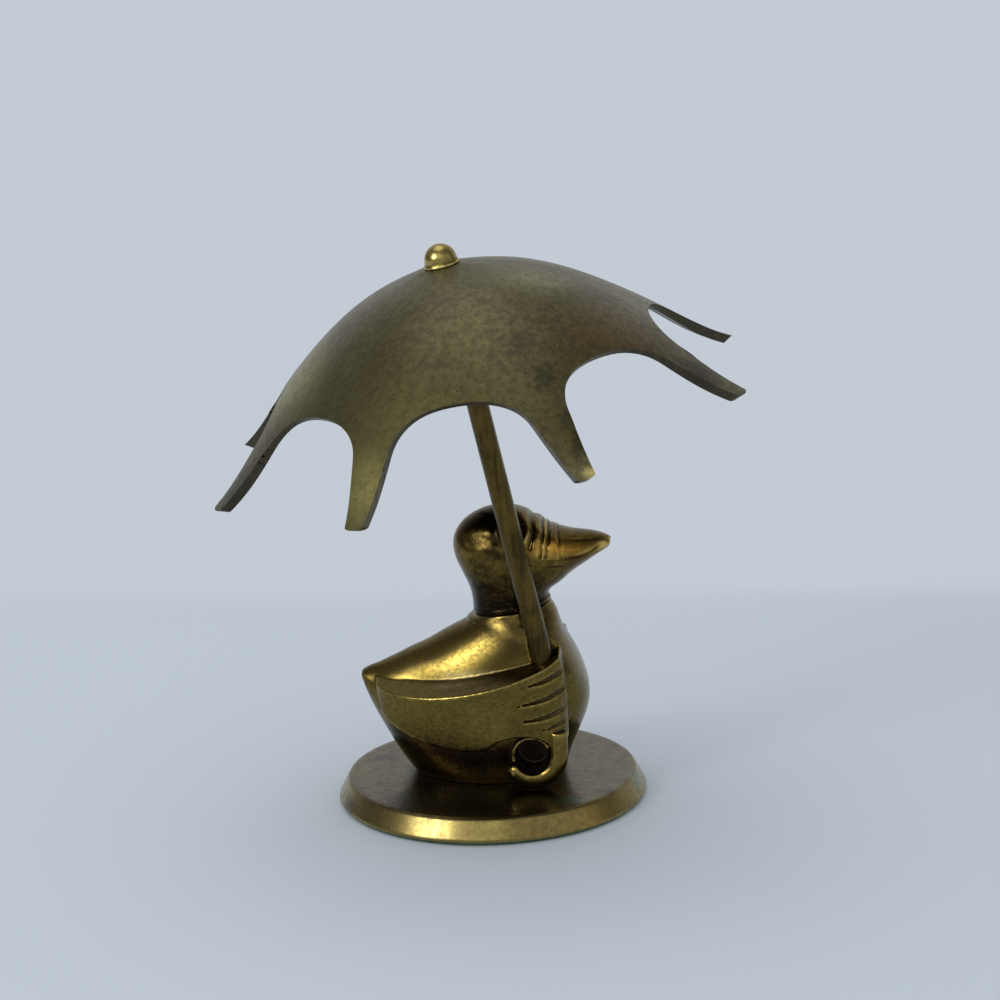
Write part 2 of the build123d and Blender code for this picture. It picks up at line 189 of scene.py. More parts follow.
class MaterialGraph(Graph):
    """Nodes of one material, round its principled shader."""

    FRAY: ClassVar[tuple[float, float]] = (0.3, 0.7)

    def __init__(self, name: str) -> None:
        """Start a material.

        Args:
            name: Name of the material.
        """
        self.material = bpy.data.materials.new(name)
        self.material.use_nodes = True
        super().__init__(self.material.node_tree)
        self.shader = self.nodes["Principled BSDF"]
        self.position = self.nodes.new("ShaderNodeTexCoord").outputs["Object"]

    def scaled(self, factors: Point) -> Socket:
        """Return the position in mm, stretched by a factor along each axis."""
        node = self.nodes.new("ShaderNodeMapping")
        self.put(node.inputs["Vector"], self.position)
        node.inputs["Scale"].default_value = tuple(MM_PER_METRE * factor for factor in factors)
        return node.outputs["Vector"]

    def noise(self, kind: Noise, stretch: Point = EVEN) -> Socket:
        """Return soft noise, with its cycles per mm multiplied along each axis."""
        node = self.nodes.new("ShaderNodeTexNoise")
        self.put(node.inputs["Vector"], self.scaled(tuple(kind.cycles * part for part in stretch)))
        self.put(node.inputs["Scale"], 1.0)
        self.put(node.inputs["Detail"], kind.detail)
        self.put(node.inputs["Roughness"], kind.rough)
        self.put(node.inputs["Distortion"], kind.warp)
        return node.outputs["Fac"]

    def attribute(self, name: str) -> Socket:
        """Return a value stored on the mesh."""
        node = self.nodes.new("ShaderNodeAttribute")
        node.attribute_name = name
        return node.outputs["Fac"]

    def coordinate(self, axis: str) -> Socket:
        """Return the position along X, Y or Z, in mm."""
        node = self.nodes.new("ShaderNodeSeparateXYZ")
        self.put(node.inputs[0], self.scaled(EVEN))
        return node.outputs[axis]

    def patch(self, centre: Point, radii: Point, wobble: Socket, edge: float, fray: float) -> Socket:
        """Return 1 inside a soft-edged ellipsoid and 0 outside it.

        Args:
            centre: Middle in mm.
            radii: Half sizes in mm.
            wobble: Noise that frays the edge.
            edge: Share of the size over which it fades.
            fray: Share of the size by which the noise moves the edge.

        Returns:
            How much of the patch covers each spot.
        """
        node = self.nodes.new("ShaderNodeMapping")
        self.put(node.inputs["Vector"], self.scaled(EVEN))
        node.inputs["Scale"].default_value = tuple(1.0 / radius for radius in radii)
        middle = tuple(-place / radius for place, radius in zip(centre, radii))
        node.inputs["Location"].default_value = middle
        length = self.nodes.new("ShaderNodeVectorMath")
        length.operation = "LENGTH"
        self.put(length.inputs[0], node.outputs["Vector"])
        moved = self.spread(wobble, Band(*self.FRAY, -fray, fray))
        frayed = self.maths("ADD", length.outputs["Value"], moved)
        return self.spread(frayed, Band(1.0 - edge, 1.0, 1.0, 0.0))

    def bump(self, height: Socket, depth: float, before: Socket | None = None) -> Socket:
        """Return a normal tilted by a height map of a given depth in mm."""
        node = self.nodes.new("ShaderNodeBump")
        self.put(node.inputs["Strength"], 1.0)
        self.put(node.inputs["Distance"], depth * MM)
        self.put(node.inputs["Height"], height)
        if before is not None:
            self.put(node.inputs["Normal"], before)
        return node.outputs["Normal"]

    def finish(self, **values: Socket | float | Colour) -> bpy.types.Material:
        """Set the shader's inputs, named with underscores for spaces, and return the material."""
        for label, value in values.items():
            self.put(self.shader.inputs[label.replace("_", " ")], value)
        return self.material


@dataclass(frozen=True)
class Stain:
    """Soft patch of one colour on a finish, as an ellipsoid in mm."""

    SHADES: ClassVar[tuple[float, float]] = (0.60, 1.25)

    centre: Point
    radii: Point
    tint: Colour
    strength: float = 1.0
    edge: float = 0.6
    fray: float = 0.10

    def over(self, graph: MaterialGraph, colour: Socket, lit: Socket, wobble: Socket) -> Socket:
        """Return a colour with this stain over it.

        Args:
            graph: Nodes of the finish.
            colour: Colour under the stain.
            lit: Where the finish has its lighter tone.
            wobble: Noise that frays the edge.

        Returns:
            The stained colour.
        """
        share = graph.patch(self.centre, self.radii, wobble, self.edge, self.fray)
        dark, light = (tuple(shade * part for part in self.tint) for shade in self.SHADES)
        return graph.blend(graph.times(share, self.strength), colour, graph.blend(lit, dark, light))


@dataclass(frozen=True)
class AgedBrass:
    """Old cast brass: olive body, dark patina in the hollows, painted shade where it is closed in, bright
    where hands wear it.
    """

    BLOTCHES: ClassVar[Noise] = Noise(0.09, 4.0, 0.6, 0.4)
    MOTTLE: ClassVar[Noise] = Noise(0.55, 5.0, 0.65)
    GRAIN: ClassVar[Noise] = Noise(2.6, 3.0, 0.7)
    PITS: ClassVar[Noise] = Noise(1.1, 2.0, 0.5)
    DENTS: ClassVar[Noise] = Noise(0.35, 2.0, 0.5)

    WORN_RIDGE: ClassVar[Band] = Band(0.10, 0.70)
    WORN_SPOT: ClassVar[Band] = Band(0.30, 0.55, 0.45, 1.0)
    RUSTY_PLACE: ClassVar[Band] = Band(0.25, 0.70)
    RUSTY_SPOT: ClassVar[Band] = Band(0.42, 0.60, 0.25, 1.0)
    GRIMY_HOLLOW: ClassVar[Band] = Band(0.10, 0.55)
    GRIMY_AND_SHADED_PLACE: ClassVar[Band] = Band(0.45, 0.92)
    GRIMY_SPOT: ClassVar[Band] = Band(0.25, 0.60, 1.0, 0.75)
    GLOSSY_TONE: ClassVar[Band] = Band(0.35, 0.65)
    METAL_SHOWN: ClassVar[Band] = Band(0.2, 1.0, 1.0, 0.70)

    FLECKED: ClassVar[tuple[float, float]] = (0.54, 0.70)
    PITTED: ClassVar[tuple[float, float]] = (0.68, 0.75)
    PRICKED: ClassVar[tuple[float, float]] = (0.28, 0.44)
    PRICK_SHARE: ClassVar[float] = 0.6
    FLECK_SHINE: ClassVar[float] = 0.45
    GRIME_AND_SHADE_COVER: ClassVar[float] = 0.93
    WEAR_POLISH: ClassVar[float] = 0.6
    WORN_GLOSS: ClassVar[float] = 0.8
    GRIME_DULL: ClassVar[float] = 0.7
    GRIME_ROUGH: ClassVar[float] = 0.58
    COAT_ROUGH: ClassVar[float] = 0.32

    name: str
    light: Colour
    deep: Colour
    worn: Colour
    grime_and_shade_tint: Colour = (0.020, 0.012, 0.005)
    rust: Colour = (0.085, 0.036, 0.014)
    gloss_rough: float = 0.26
    dull_rough: float = 0.42
    streak: Point = EVEN
    grain_depth: float = 0.010
    dent_depth: float = 0.04
    fleck_amount: float = 0.35
    pit_amount: float = 0.6
    wear_amount: float = 1.0
    rust_amount: float = 0.5
    coat: float = 0.10
    cloud: float = 0.5
    tone_band: Band = Band(0.40, 0.60)
    stains: tuple[Stain, ...] = ()

    def material(self) -> bpy.types.Material:
        """Build the finish from noise and the mesh's own ridges and sheltered places, with painted shade in
        the sheltered places.
        """
        graph = MaterialGraph(self.name)
        blotches = graph.noise(self.BLOTCHES)
        mottle = graph.noise(self.MOTTLE, self.streak)
        grain = graph.noise(self.GRAIN, self.streak)
        ridge, hollow, shelter = (graph.attribute(name) for name in ("ridge", "hollow", "shelter"))
        tone = graph.between(self.cloud, mottle, blotches)
        wear = graph.times(graph.spread(ridge, self.WORN_RIDGE), graph.spread(mottle, self.WORN_SPOT))
        wear = graph.times(wear, self.wear_amount)
        damp = graph.times(graph.spread(shelter, self.RUSTY_PLACE), graph.spread(blotches, self.RUSTY_SPOT))
        # Patina in the hollows, and painted shade with some grime where the shelter value says the spot is
        # closed in.
        grime_and_shade_share = graph.maths(
            "MAXIMUM",
            graph.spread(hollow, self.GRIMY_HOLLOW),
            graph.spread(shelter, self.GRIMY_AND_SHADED_PLACE),
        )
        grime_and_shade_share = graph.times(grime_and_shade_share, graph.spread(mottle, self.GRIMY_SPOT))

        lit = graph.spread(tone, self.tone_band)
        colour = graph.blend(lit, self.deep, self.light)
        colour = graph.blend(wear, colour, self.worn)
        colour = graph.blend(graph.times(damp, self.rust_amount), colour, self.rust)
        for stain in self.stains:
            colour = stain.over(graph, colour, lit, mottle)
        fleck = graph.blend(self.FLECK_SHINE, colour, self.worn)
        flecks = graph.spread(grain, Band(*self.FLECKED, 0.0, self.fleck_amount))
        colour = graph.blend(flecks, colour, fleck)
        pits = graph.spread(graph.noise(self.PITS), Band(*self.PITTED, 0.0, self.pit_amount))
        pricks = graph.spread(grain, Band(*self.PRICKED, self.pit_amount * self.PRICK_SHARE, 0.0))
        # Pits and pricks are grime; the last share is painted shade with some grime.
        for share in (pits, pricks, graph.times(grime_and_shade_share, self.GRIME_AND_SHADE_COVER)):
            colour = graph.blend(share, colour, self.grime_and_shade_tint)

        rough = graph.between(graph.spread(tone, self.GLOSSY_TONE), self.dull_rough, self.gloss_rough)
        polish = graph.times(wear, self.WEAR_POLISH)
        rough = graph.between(polish, rough, self.gloss_rough * self.WORN_GLOSS)
        rough = graph.between(graph.times(grime_and_shade_share, self.GRIME_DULL), rough, self.GRIME_ROUGH)
        dented = graph.bump(graph.noise(self.DENTS), self.dent_depth)
        return graph.finish(
            Base_Color=colour,
            Roughness=rough,
            Metallic=graph.spread(grime_and_shade_share, self.METAL_SHOWN),
            Normal=graph.bump(grain, self.grain_depth, dented),
            Coat_Weight=self.coat,
            Coat_Roughness=self.COAT_ROUGH,
        )


@dataclass(frozen=True)
class PlainSteel:
    """Turned steel of the hidden fasteners."""

    MARKS: ClassVar[Noise] = Noise(1.0, 2.0)
    MARK_STRETCH: ClassVar[Point] = (0.4, 0.4, 6.0)
    ROUGH: ClassVar[Band] = Band(0.3, 0.7, 0.28, 0.42)

    name: str = "turned_steel"
    tint: Colour = (0.42, 0.42, 0.43)
    shade: Colour = (0.30, 0.30, 0.31)
    mark_depth: float = 0.01

    def material(self) -> bpy.types.Material:
        """Build the finish with faint turning marks."""
        graph = MaterialGraph(self.name)
        marks = graph.noise(self.MARKS, self.MARK_STRETCH)
        return graph.finish(
            Base_Color=graph.blend(marks, self.tint, self.shade),
            Roughness=graph.spread(marks, self.ROUGH),
            Metallic=1.0,
            Normal=graph.bump(marks, self.mark_depth),
        )


@dataclass(frozen=True)
class GreenFelt:
    """Pressed wool felt under the base."""

    FIBRES: ClassVar[Noise] = Noise(1.0, 6.0, 0.75, 1.5)
    FIBRE_STRETCH: ClassVar[Point] = (3.5, 3.5, 1.5)
    LINTY: ClassVar[Band] = Band(0.35, 0.70)

    name: str = "green_felt"
    tint: Colour = (0.018, 0.060, 0.034)
    lint: Colour = (0.050, 0.115, 0.070)
    rough: float = 0.95
    sheen: float = 0.4
    fibre_depth: float = 0.12

    def material(self) -> bpy.types.Material:
        """Build the finish with matted fibres."""
        graph = MaterialGraph(self.name)
        fibres = graph.noise(self.FIBRES, self.FIBRE_STRETCH)
        return graph.finish(
            Base_Color=graph.blend(graph.spread(fibres, self.LINTY), self.tint, self.lint),
            Roughness=self.rough,
            Sheen_Weight=self.sheen,
            Normal=graph.bump(fibres, self.fibre_depth),
        )


# Near-black tint: grime on some small spots, painted shade on the neck, the crown and the base top.
GRIME_AND_SHADE: Colour = (0.012, 0.007, 0.003)
RUSSET: Colour = (0.050, 0.018, 0.006)
# Near-black tint for painted shade in the cove under the wing.
UNDER_WING_SHADE: Colour = (0.014, 0.005, 0.003)

BODY_BRASS = AgedBrass(
    "aged_casting",
    light=(0.172, 0.124, 0.026),
    deep=(0.098, 0.068, 0.014),
    worn=(0.520, 0.400, 0.115),
    gloss_rough=0.17,
    dull_rough=0.27,
    wear_amount=0.45,
    cloud=0.30,
    tone_band=Band(0.36, 0.64),
    streak=(1.5, 1.6, 2.4),
    fleck_amount=0.45,
    dent_depth=0.02,
    stains=(
        Stain((1.0, -18.0, 24.0), (12.0, 5.0, 9.0), (0.250, 0.182, 0.045), 0.55, 0.95),
        # Painted shade on the shoulder by the neck's foot.
        Stain((8.0, -10.0, 43.0), (11.0, 8.0, 8.0), (0.045, 0.032, 0.009), 0.80, 0.9),
        # Painted reflection: the upward-facing deck of the wing made lighter.
        Stain((-4.0, -12.7, 32.3), (24.0, 3.6, 3.0), (0.400, 0.320, 0.130), 0.75, 0.8),
        Stain((-9.0, -14.0, 17.5), (20.0, 7.0, 6.5), RUSSET, 0.62, 0.9),
        # Painted shade low on the body, just above the base.
        Stain((-10.0, -6.0, 7.0), (19.0, 15.0, 5.0), (0.040, 0.030, 0.011), 0.50, 0.7),
        # Painted shade in the cove under the wing.
        Stain((-22.0, -8.0, 17.2), (9.0, 8.0, 4.4), UNDER_WING_SHADE, 0.95, 0.75),
        Stain((-11.0, -14.0, 14.2), (14.0, 9.0, 5.6), UNDER_WING_SHADE, 1.0, 0.7),
        Stain((-2.0, -14.0, 13.0), (11.0, 9.0, 5.2), UNDER_WING_SHADE, 1.0, 0.7),
        Stain((4.6, -12.0, 13.8), (5.0, 6.0, 4.6), UNDER_WING_SHADE, 0.95, 0.7),
        # Painted shade: the crook's hole made nearly black.
        Stain((10.2, -7.4, 10.9), (6.0, 5.2, 6.0), (0.002, 0.002, 0.002), 1.0, 0.3),
    ),
)
HEAD_BRASS = AgedBrass(
    "aged_head",
    light=(0.155, 0.110, 0.026),
    deep=(0.084, 0.057, 0.014),
    worn=(0.600, 0.430, 0.120),
    gloss_rough=0.17,
    dull_rough=0.27,
    coat=0.03,
    fleck_amount=0.25,
    stains=(
        # Painted shade on the neck and on the crown, under the umbrella.
        Stain((4.0, -4.0, 46.0), (21.0, 21.0, 20.0), GRIME_AND_SHADE, 1.0, 0.7),
        Stain((0.0, -6.0, 70.5), (12.0, 10.0, 8.5), GRIME_AND_SHADE, 0.97, 0.85),
        Stain((3.6, -8.5, 64.5), (4.0, 4.0, 6.5), GRIME_AND_SHADE, 0.75, 0.8),
        # Painted reflection: a bright golden band on the side of the beak.
        Stain((18.0, -7.5, 62.8), (13.0, 5.0, 3.3), (0.600, 0.330, 0.055), 0.88, 0.9),
        Stain((22.5, -6.8, 60.2), (6.5, 3.0, 0.8), (0.090, 0.022, 0.006), 0.8, 0.8),
        # Painted highlight on the beak's tip.
        Stain((29.0, -3.0, 62.6), (2.4, 3.0, 1.4), (0.640, 0.470, 0.150), 0.9, 0.8),
    ),
)
DISC_BRASS = AgedBrass(
    "aged_disc",
    light=(0.320, 0.246, 0.072),
    deep=(0.180, 0.130, 0.036),
    worn=(0.640, 0.500, 0.170),
    gloss_rough=0.20,
    dull_rough=0.33,
    rust_amount=0.35,
    coat=0.35,
    cloud=0.40,
    tone_band=Band(0.32, 0.68),
    stains=(
        Stain((0.0, 0.0, 6.6), (80.0, 80.0, 1.6), (0.046, 0.034, 0.014), 0.88, 0.6, 0.04),
        Stain((27.0, -25.0, 2.8), (11.0, 9.0, 4.0), (0.440, 0.290, 0.070), 0.55, 0.8),
        # Painted shade on the base top before the duck.
        Stain((-4.0, -22.0, 6.0), (27.0, 12.0, 2.5), GRIME_AND_SHADE, 0.97, 0.6),
        Stain((19.6, -23.1, 6.0), (5.0, 2.2, 1.5), (0.050, 0.200, 0.095), 0.95),
        Stain((-27.0, 7.7, 6.0), (4.0, 4.0, 2.0), GRIME_AND_SHADE, 0.75),
        Stain((27.8, -17.1, 6.0), (3.5, 2.5, 1.5), GRIME_AND_SHADE, 0.7),
        Stain((35.2, -5.5, 4.5), (3.0, 5.0, 3.0), (0.100, 0.200, 0.120), 0.65),
        Stain((-33.0, -16.0, 2.0), (6.0, 6.0, 4.0), GRIME_AND_SHADE, 0.55, 0.8),
    ),
)
CANOPY_BRASS = AgedBrass(
    "brushed_canopy",
    light=(0.128, 0.112, 0.033),
    deep=(0.070, 0.056, 0.017),
    worn=(0.240, 0.210, 0.070),
    gloss_rough=0.38,
    dull_rough=0.50,
    streak=(1.3, 1.3, 0.8),
    grain_depth=0.045,
    fleck_amount=0.60,
    pit_amount=0.80,
    wear_amount=0.10,
    rust_amount=0.2,
    coat=0.50,
    cloud=0.25,
    tone_band=Band(0.36, 0.64),
    stains=(
        Stain((34.0, -45.0, 118.0), (24.0, 24.0, 13.0), (0.128, 0.080, 0.022), 0.75, 0.9),
        Stain((-17.0, -74.0, 91.0), (9.0, 13.0, 17.0), (0.290, 0.262, 0.085), 0.80, 0.95),
        # Painted reflection: the canopy's left side made lighter.
        Stain((-36.0, -34.0, 108.0), (15.0, 22.0, 15.0), (0.330, 0.305, 0.100), 0.68, 0.9),
        # Painted reflection: a lighter patch at the canopy's top right.
        Stain((18.0, -32.0, 129.0), (16.0, 10.0, 7.0), (0.310, 0.285, 0.150), 0.60, 0.9),
        # Painted shade along the right flank of the front-right finger.
        Stain((15.0, -53.0, 117.5), (4.5, 5.0, 6.0), (0.050, 0.038, 0.013), 0.65, 0.9),
        Stain((20.5, -59.5, 112.0), (4.0, 5.0, 6.0), (0.045, 0.034, 0.012), 0.75, 0.9),
        Stain((26.0, -66.0, 104.0), (4.0, 5.0, 6.0), (0.040, 0.030, 0.010), 0.80, 0.9),
        Stain((28.5, -70.5, 100.0), (4.5, 6.0, 7.0), (0.035, 0.026, 0.006), 0.85, 0.9),
        # Painted highlight on that finger's tip.
        Stain((30.5, -76.5, 95.0), (2.6, 2.6, 2.6), (0.480, 0.400, 0.130), 0.90, 0.8),
        Stain((52.0, -42.0, 109.0), (9.0, 9.0, 6.0), (0.035, 0.024, 0.006), 0.90, 0.8),
        # Painted shade on the inner side of the left finger.
        Stain((-49.0, -45.0, 87.0), (7.0, 8.0, 8.0), (0.020, 0.015, 0.007), 0.65, 0.8),
    ),
)
ROD_BRASS = AgedBrass(
    "drawn_rod",
    light=(0.108, 0.073, 0.016),
    deep=(0.040, 0.026, 0.007),
    worn=(0.320, 0.225, 0.060),
    streak=(1.6, 1.6, 0.12),
    grain_depth=0.03,
    gloss_rough=0.22,
    dull_rough=0.36,
)
NUT_BRASS = AgedBrass(
    "worn_finial",
    light=(0.430, 0.335, 0.095),
    deep=(0.200, 0.148, 0.040),
    worn=(0.70, 0.56, 0.20),
    gloss_rough=0.20,
    dull_rough=0.32,
)


@dataclass(frozen=True)
class CarvedLine:
    """Groove cut across the head, as points of its side view in mm."""

    points: Section
    width: float
    depth: float

    def cut(self, places: np.ndarray) -> np.ndarray:
        """Return how deep the groove is at each place.

        Args:
            places: Vertex places in mm, one row each.

        Returns:
            Depths in mm.
        """
        flat = places[:, [0, 2]]
        line = np.array(self.points, float)
        nearest = np.full(len(flat), np.inf)
        for start, end in zip(line[:-1], line[1:]):
            run = end - start
            along = np.clip(((flat - start) @ run) / (run @ run), 0.0, 1.0)
            nearest = np.minimum(nearest, np.linalg.norm(flat - start - along[:, None] * run, axis=1))
        return self.depth * np.exp(-((nearest / (self.width / 2)) ** 2))


@dataclass(frozen=True)
class CarvedRing:
    """Round groove with a domed button inside it, in the side view of the head in mm."""

    BUTTON: ClassVar[float] = 0.8

    centre: tuple[float, float]
    radius: float
    width: float
    depth: float
    dome: float

    def cut(self, places: np.ndarray) -> np.ndarray:
        """Return how deep the ring is at each place, below zero on the dome.

        Args:
            places: Vertex places in mm, one row each.

        Returns:
            Depths in mm.
        """
        reach = np.hypot(places[:, 0] - self.centre[0], places[:, 2] - self.centre[1])
        ring = self.depth * np.exp(-(((reach - self.radius) / (self.width / 2)) ** 2))
        dome = self.dome * np.clip(1.0 - (reach / (self.radius * self.BUTTON)) ** 2, 0.0, 1.0)
        return ring - dome


class MeshWork:
    """Mesh steps that several pieces share."""

    CELL_ROOM = 0.99
    EDGE_KEPT = 1.0
    LOOSE_PARTS = 0.05
    SOFTENING = 0.5
    FORM_GAIN = 2.0
    FORM_KEPT = 0.4

    @staticmethod
    def new_object(name: str, mesh: bpy.types.Mesh) -> bpy.types.Object:
        """Link a mesh to the scene as an object."""
        thing = bpy.data.objects.new(name, mesh)
        bpy.context.scene.collection.objects.link(thing)
        return thing

    @staticmethod
    def rows(items: bpy.types.bpy_prop_collection, label: str) -> np.ndarray:
        """Return a vector of each vertex or face, one row each."""
        flat = np.zeros(len(items) * 3)
        items.foreach_get(label, flat)
        return flat.reshape(-1, 3)

    @classmethod
    def places(cls, mesh: bpy.types.Mesh) -> np.ndarray:
        """Return the vertices in mm."""
        return cls.rows(mesh.vertices, "co") / MM

    @classmethod
    def normals(cls, mesh: bpy.types.Mesh) -> np.ndarray:
        """Return the vertex normals."""
        return cls.rows(mesh.vertex_normals, "vector")

    @staticmethod
    def put_places(mesh: bpy.types.Mesh, places: np.ndarray) -> None:
        """Move the vertices to places in mm."""
        mesh.vertices.foreach_set("co", (places * MM).ravel())
        mesh.update()

    @staticmethod
    def smooth_but_sharp(mesh: bpy.types.Mesh) -> None:
        """Shade a mesh smoothly up to its sharp edges."""
        mesh.shade_smooth()
        mesh.set_sharp_from_angle(angle=math.radians(CREASE_ANGLE))

    @classmethod
    def recast(
        cls,
        node: bpy.types.Object,
        name: str,
        kind: Skin,
        face_size: float,
        relax: int,
    ) -> bpy.types.Object:
        """Copy a casting into an even skin with slightly softened corners.

        Args:
            node: Packed piece to copy.
            name: Name of the new piece.
            kind: How the skin treats edges.
            face_size: Size of the skin's faces in mm.
            relax: Passes of smoothing.

        Returns:
            The new piece.
        """
        thing = cls.new_object(name, node.data.copy())
        skin = thing.modifiers.new("skin", "REMESH")
        skin.mode = kind.value
        if kind is Skin.ROUND:
            skin.voxel_size = face_size * MM
        else:
            cells = max(thing.dimensions) / (face_size * MM)
            skin.octree_depth = math.ceil(math.log2(cells))
            skin.scale = min(cls.CELL_ROOM, cells / 2**skin.octree_depth)
            skin.sharpness = cls.EDGE_KEPT
            skin.threshold = cls.LOOSE_PARTS
        skin.use_smooth_shade = True
        soft = thing.modifiers.new("soft", "SMOOTH")
        soft.factor = cls.SOFTENING
        soft.iterations = relax
        depsgraph = bpy.context.evaluated_depsgraph_get()
        mesh = bpy.data.meshes.new_from_object(thing.evaluated_get(depsgraph))
        thing.modifiers.clear()
        thing.data = mesh
        mesh.name = name
        mesh.materials.clear()
        mesh.shade_smooth()
        return thing

    @staticmethod
    def store(mesh: bpy.types.Mesh, name: str, values: np.ndarray, domain: str = "POINT") -> None:
        """Keep one number for each vertex or face on the mesh."""
        layer = mesh.attributes.new(name, "FLOAT", domain)
        layer.data.foreach_set("value", values.astype(np.float32))

    @classmethod
    def mark_form(cls, mesh: bpy.types.Mesh, passes: int = 4) -> None:
        """Store how sharply the surface bulges (ridge) or sinks (hollow) at each vertex.

        Args:
            mesh: Mesh with even faces.
            passes: Passes that spread the marks.
        """
        places = cls.places(mesh)
        ends = np.zeros(len(mesh.edges) * 2, np.int64)
        mesh.edges.foreach_get("vertices", ends)
        first, second = ends.reshape(-1, 2).T
        degree = np.bincount(ends, minlength=len(places)).astype(float)
        degree[degree == 0] = 1.0

        def average(values: np.ndarray) -> np.ndarray:
            """Return the mean of each vertex's neighbours."""
            total = np.zeros_like(values)
            np.add.at(total, first, values[second])
            np.add.at(total, second, values[first])
            return total / (degree if values.ndim == 1 else degree[:, None])

        length = np.linalg.norm(places[first] - places[second], axis=1).mean()
        lift = ((average(places) - places) * cls.normals(mesh)).sum(1) / length**2 * cls.FORM_GAIN
        for _ in range(passes):
            lift = cls.FORM_KEPT * lift + (1.0 - cls.FORM_KEPT) * average(lift)
        cls.store(mesh, "ridge", np.clip(-lift, 0.0, 1.0))
        cls.store(mesh, "hollow", np.clip(lift, 0.0, 1.0))

    @classmethod
    def turned(cls, name: str, profile: Section, sides: int) -> bpy.types.Object:
        """Build a turned piece round the Z axis from its half section.

        Args:
            name: Name of the piece.
            profile: Radius and height in mm, from the bottom of the axis to the top.
            sides: Faces round the axis.

        Returns:
            The new piece.
        """
        points: list[Vector] = []
        rings: list[list[int]] = []
        for radius, height in profile:
            if radius == 0.0:
                rings.append([len(points)])
                points.append(Vector((0.0, 0.0, height)))
                continue
            rings.append(list(range(len(points), len(points) + sides)))
            for side in range(sides):
                angle = 2.0 * math.pi * side / sides
                points.append(Vector((radius * math.cos(angle), radius * math.sin(angle), height)))
        faces: list[tuple[int, ...]] = []
        for below, above in zip(rings[:-1], rings[1:]):
            for side in range(sides):
                after = (side + 1) % sides
                if len(below) == 1:
                    faces.append((below[0], above[after], above[side]))
                elif len(above) == 1:
                    faces.append((below[side], below[after], above[0]))
                else:
                    faces.append((below[side], below[after], above[after], above[side]))
        mesh = bpy.data.meshes.new(name)
        mesh.from_pydata([tuple(point * MM) for point in points], [], faces)
        mesh.validate()
        mesh.shade_smooth()
        return cls.new_object(name, mesh)


class Shelter:
    """Works out how closed in each spot of the object is; the finishes paint shade on closed-in spots from
    it.
    """

    REACH = 14.0
    LOOKS = 14
    GOLDEN_TURN = 2.399963
    CLEARANCE = 0.25
    GAIN = 1.35

    def __init__(self, things: list[bpy.types.Object]) -> None:
        """Gather the pieces that can shelter each other into one tree."""
        points: list[Vector] = []
        faces: list[tuple[int, ...]] = []
        for thing in things:
            offset = len(points)
            points += [vertex.co.copy() for vertex in thing.data.vertices]
            faces += [tuple(offset + index for index in face.vertices) for face in thing.data.polygons]
        self.tree = BVHTree.FromPolygons(points, faces)
        self.reach = self.REACH * MM
        turns = np.arange(self.LOOKS) * self.GOLDEN_TURN
        rise = np.sqrt(1.0 - (np.arange(self.LOOKS) + 0.5) / self.LOOKS)
        flat = np.sqrt(1.0 - rise**2)
        self.looks = [Vector((f * math.cos(t), f * math.sin(t), r)) for f, t, r in zip(flat, turns, rise)]

    def mark(self, thing: bpy.types.Object) -> None:
        """Store how closed in each vertex is, from 0 in the open to 1 in a slot."""
        mesh = thing.data
        normals = MeshWork.normals(mesh)
        shade = np.zeros(len(mesh.vertices))
        for index, vertex in enumerate(mesh.vertices):
            normal = Vector(normals[index])
            turn = normal.to_track_quat("Z", "Y").to_matrix()
            start = vertex.co + normal * (self.CLEARANCE * MM)
            blocked = 0.0
            for look in self.looks:
                _, _, _, distance = self.tree.ray_cast(start, turn @ look, self.reach)
                if distance is not None:
                    blocked += 1.0 - distance / self.reach
            shade[index] = blocked / len(self.looks)
        MeshWork.store(mesh, "shelter", np.clip(shade * self.GAIN, 0.0, 1.0))


@dataclass
class Base:
    """Turned base disc and the felt pad under it.

    A point of the disc's edge is its distance inward from the rim, and then its height over the
    underside (foot) or its depth under the top (bevel_end and shoulder).
    """

    foot: Section = ((2.0, 0.0), (0.15, 0.05), (0.0, 0.25), (0.02, 0.65), (0.25, 1.1))
    bevel_end: tuple[float, float] = (2.3, 0.35)
    bevel_steps: int = 12
    shoulder: Section = ((2.48, 0.12), (2.95, 0.005))
    top_edge: float = 3.7
    top_middle: float = 1.0
    top_rings: int = 46
    disc_sides: int = 240
    felt_round: float = 0.2
    felt_draft: float = 0.05
    felt_sink: float = 0.02
    felt_sides: int = 160

    def build(self) -> bpy.types.Object:
        """Build the disc and the pad.

        Returns:
            The disc.
        """
        low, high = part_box("base_disc")
        section = self.disc_section(high.x / MM, low.z / MM, high.z / MM)
        disc = MeshWork.turned("base_turning", section, self.disc_sides)
        MeshWork.mark_form(disc.data, passes=1)
        _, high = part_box("felt_pad")
        pad = MeshWork.turned("felt_cut", self.pad_section(high.x / MM, high.z / MM), self.felt_sides)
        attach(disc, "duck")
        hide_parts("base_disc")
        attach(pad, "duck")
        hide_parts("felt_pad")
        pad.data.materials.append(GreenFelt().material())
        return disc

    def disc_section(self, radius: float, bottom: float, top: float) -> Section:
        """Return the disc's half section.

        Args:
            radius: Radius of the rim in mm.
            bottom: Height of the underside in mm.
            top: Height of the top in mm.

        Returns:
            Radius and height in mm, from the bottom of the axis to the top.
        """
        foot = [(radius - inset, bottom + rise) for inset, rise in self.foot]
        bevel_end = (radius - self.bevel_end[0], top - self.bevel_end[1])
        bevel = np.linspace(foot[-1], bevel_end, self.bevel_steps + 1)[1:-1].tolist()
        shoulder = [(radius - inset, top - drop) for inset, drop in self.shoulder]
        rings = np.linspace(radius - self.top_edge, self.top_middle, self.top_rings)
        flat = [(float(ring), top) for ring in rings]
        return ((0.0, bottom), *foot, *bevel, *shoulder, *flat, (0.0, top))

    def pad_section(self, radius: float, top: float) -> Section:
        """Return the pad's half section, from its radius and its height in mm."""
        return (
            (0.0, 0.0),
            (radius - self.felt_round, 0.0),
            (radius, self.felt_round),
            (radius - self.felt_draft, top - self.felt_draft),
            (0.0, top - self.felt_sink),
        )


